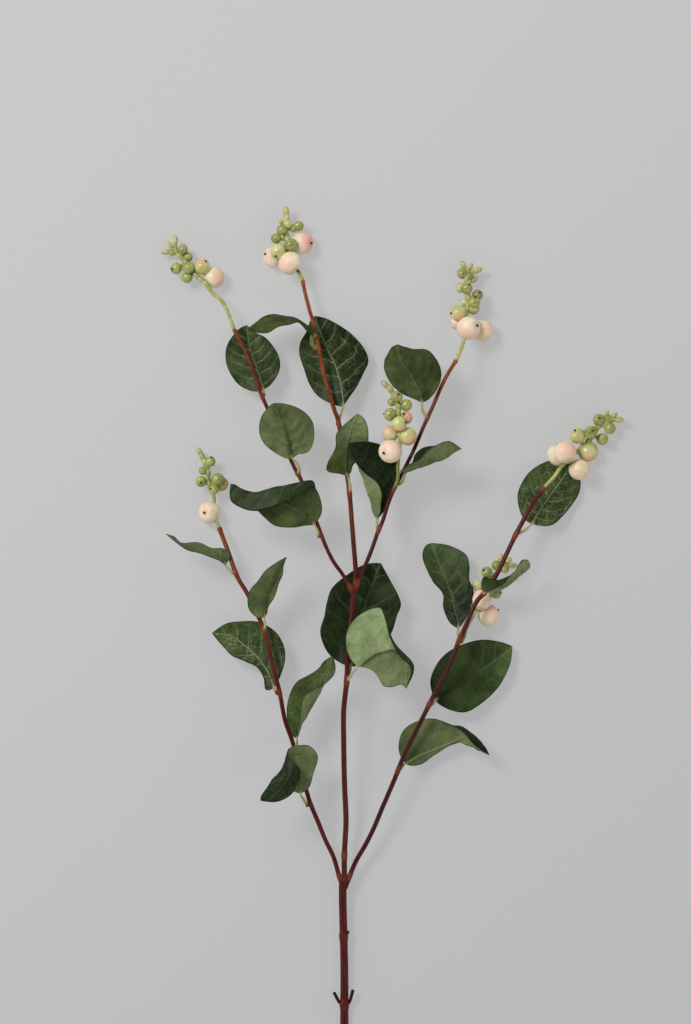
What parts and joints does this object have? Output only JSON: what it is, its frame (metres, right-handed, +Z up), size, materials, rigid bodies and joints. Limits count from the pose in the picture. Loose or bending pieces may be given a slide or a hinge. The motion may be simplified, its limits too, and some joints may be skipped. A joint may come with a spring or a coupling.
{
  "type": "snowberry stem",
  "caption": "Cut snowberry stem lying down: forked red-brown twigs, folded green leaves and loose clusters of round cream and green berries, for a vase, wreath or table.",
  "frame": {"origin": "on the surface that the stem lies on, under the middle of its box", "axes": "+Y along the stem from its cut end to its tips, +Z up from the surface, +X to the right as seen from above"},
  "size_m": [0.2778, 0.6012, 0.0436],
  "materials": {
    "bark": "satin red-brown bark",
    "leaf": "dark green upper face, paler grey-green underside, soft sheen",
    "berries": "waxy cream with a pink blush, unripe ones yellow-green"
  },
  "bodies": {
    "root": {"main_stem": "bark", "branch_centre": "bark", "branch_left": "bark", "branch_right": "bark", "shoot_upper_left": "bark", "shoot_upper_right": "bark", "berries_upper_left": "berries", "berries_upper_middle": "berries", "berries_upper_right": "berries", "berries_upper_right_side": "berries", "berries_right": "berries", "berries_right_side": "berries", "berries_left": "berries", "leaf_left_1": "leaf", "leaf_left_2": "leaf", "leaf_left_3": "leaf", "leaf_left_4": "leaf", "leaf_left_5": "leaf", "leaf_centre_1": "leaf", "leaf_centre_2": "leaf", "leaf_upper_left_1": "leaf", "leaf_upper_left_2": "leaf", "leaf_upper_left_3": "leaf", "leaf_upper_middle_1": "leaf", "leaf_upper_middle_2": "leaf", "leaf_upper_middle_3": "leaf", "leaf_upper_right_1": "leaf", "leaf_upper_right_2": "leaf", "leaf_upper_right_3": "leaf", "leaf_right_1": "leaf", "leaf_right_2": "leaf", "leaf_right_3": "leaf", "leaf_right_4": "leaf", "leaf_right_5": "leaf"}
  },
  "joints": []
}
